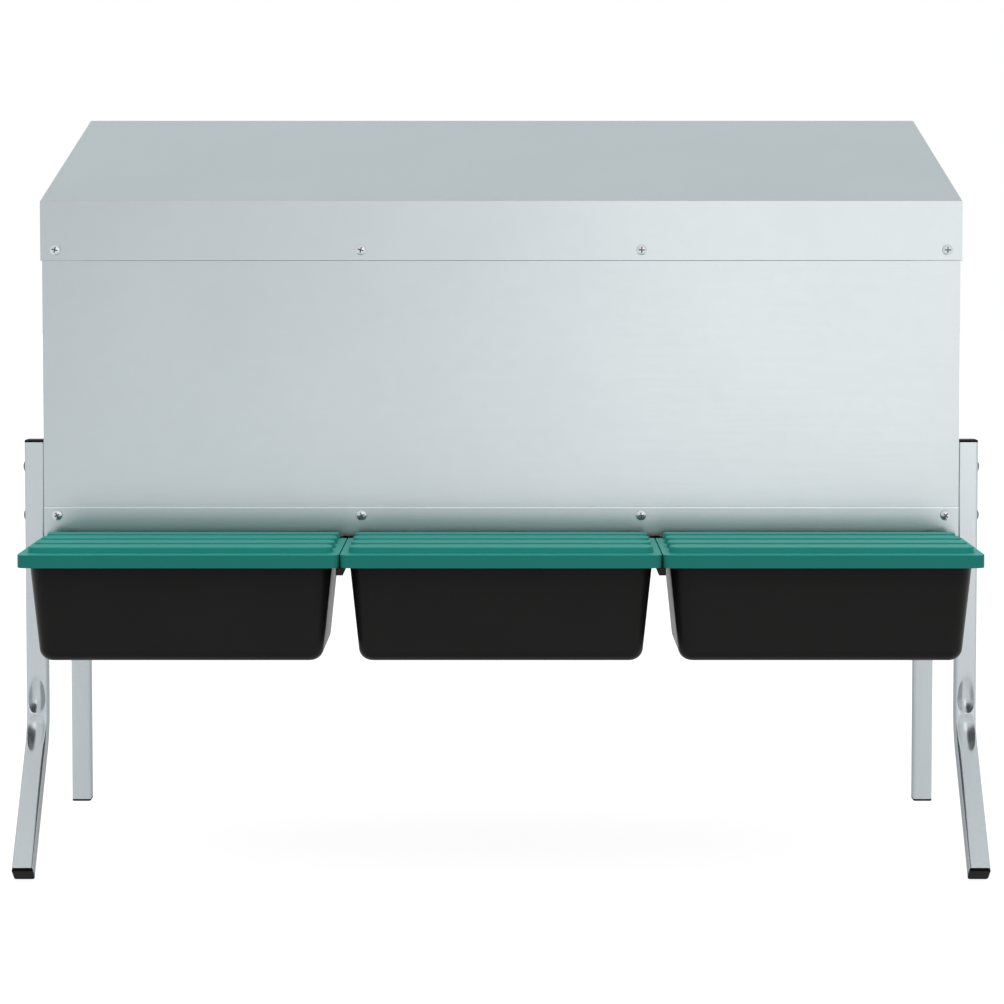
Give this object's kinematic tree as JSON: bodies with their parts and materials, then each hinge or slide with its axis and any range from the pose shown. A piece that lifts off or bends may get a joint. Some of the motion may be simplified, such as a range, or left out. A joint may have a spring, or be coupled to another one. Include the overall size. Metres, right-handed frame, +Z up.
{
  "type": "chicken nesting box",
  "caption": "Free-standing roll-away nesting box of galvanised sheet on bent tube legs, with a sloping roof, lidded egg trays, sloping nest pans and a folding perch.",
  "frame": {"origin": "on the ground, under the middle of the whole box", "axes": "+X along the row of nests, +Y towards the hens' entrances, +Z up; the egg trays are at -Y"},
  "size_m": [0.9454, 0.607, 0.7432],
  "materials": {
    "galvanised_sheet": "zinc-coated sheet, satin",
    "zinc_tube": "zinc-plated square tube, satin",
    "zinc_steel": "zinc-plated steel",
    "zinc_screw": "bright zinc-plated",
    "black_tray_plastic": "injection-moulded polypropylene, satin gloss",
    "green_lid_plastic": "injection-moulded polypropylene, satin gloss",
    "black_pan_plastic": "injection-moulded polypropylene, matt",
    "black_rail_plastic": "moulded plastic, matt",
    "black_cap_plastic": "moulded plastic, matt",
    "beech_wood": "turned beech, unvarnished"
  },
  "bodies": {
    "housing": {"roof": "galvanised_sheet", "rear_wall": "galvanised_sheet", "rear_rail": "galvanised_sheet", "front_header": "galvanised_sheet", "front_sill": "galvanised_sheet", "pan_ledges": "galvanised_sheet", "leg_top_caps": "black_cap_plastic", "leg_foot_caps": "black_cap_plastic", "leg_screws": "zinc_screw", "leg_nuts": "zinc_screw", "roof_screws": "zinc_screw", "rail_screws": "zinc_screw", "header_screws": "zinc_screw", "sill_screws": "zinc_screw", "runner_screws": "zinc_screw", "perch_pivot_bolts": "zinc_screw", "perch_pivot_nuts": "zinc_screw", "left_end_wall": "galvanised_sheet", "left_partition": "galvanised_sheet", "left_tray_rail": "black_rail_plastic", "left_outer_runner": "black_rail_plastic", "left_rear_leg": "zinc_tube", "left_front_leg": "zinc_tube", "right_end_wall": "galvanised_sheet", "right_partition": "galvanised_sheet", "right_tray_rail": "black_rail_plastic", "right_outer_runner": "black_rail_plastic", "right_rear_leg": "zinc_tube", "right_front_leg": "zinc_tube"},
    "perch": {"perch_bar": "beech_wood", "left_perch_arm": "zinc_steel", "right_perch_arm": "zinc_steel", "perch_bar_screws": "zinc_screw"},
    "tray_left": {"egg_tray_left": "black_tray_plastic", "hinge_pins_left": "zinc_steel"},
    "lid_left": {"tray_lid_left": "green_lid_plastic"},
    "pan_left": {"nest_pan_left": "black_pan_plastic"},
    "tray_middle": {"egg_tray_middle": "black_tray_plastic", "hinge_pins_middle": "zinc_steel"},
    "lid_middle": {"tray_lid_middle": "green_lid_plastic"},
    "pan_middle": {"nest_pan_middle": "black_pan_plastic"},
    "tray_right": {"egg_tray_right": "black_tray_plastic", "hinge_pins_right": "zinc_steel"},
    "lid_right": {"tray_lid_right": "green_lid_plastic"},
    "pan_right": {"nest_pan_right": "black_pan_plastic"}
  },
  "joints": [
    {"name": "perch_fold", "type": "hinge", "parent": "housing", "child": "perch", "pos_m": [0, 0.1723, 0.346], "axis": [1, 0, 0], "range_deg": [0, 90]},
    {"name": "tray_left_slide", "type": "slide", "parent": "housing", "child": "tray_left", "axis": [0, -1, 0], "range_m": [0, 0.09]},
    {"name": "lid_left_hinge", "type": "hinge", "parent": "tray_left", "child": "lid_left", "pos_m": [-0.3, -0.162, 0.3165], "axis": [-1, 0, 0], "range_deg": [0, 90]},
    {"name": "pan_left_lift", "type": "slide", "parent": "housing", "child": "pan_left", "axis": [0, 0, 1], "range_m": [0, 0.09]},
    {"name": "tray_middle_slide", "type": "slide", "parent": "housing", "child": "tray_middle", "axis": [0, -1, 0], "range_m": [0, 0.09]},
    {"name": "lid_middle_hinge", "type": "hinge", "parent": "tray_middle", "child": "lid_middle", "pos_m": [0, -0.162, 0.3165], "axis": [-1, 0, 0], "range_deg": [0, 90]},
    {"name": "pan_middle_lift", "type": "slide", "parent": "housing", "child": "pan_middle", "axis": [0, 0, 1], "range_m": [0, 0.09]},
    {"name": "tray_right_slide", "type": "slide", "parent": "housing", "child": "tray_right", "axis": [0, -1, 0], "range_m": [0, 0.09]},
    {"name": "lid_right_hinge", "type": "hinge", "parent": "tray_right", "child": "lid_right", "pos_m": [0.3, -0.162, 0.3165], "axis": [-1, 0, 0], "range_deg": [0, 90]},
    {"name": "pan_right_lift", "type": "slide", "parent": "housing", "child": "pan_right", "axis": [0, 0, 1], "range_m": [0, 0.09]}
  ]
}
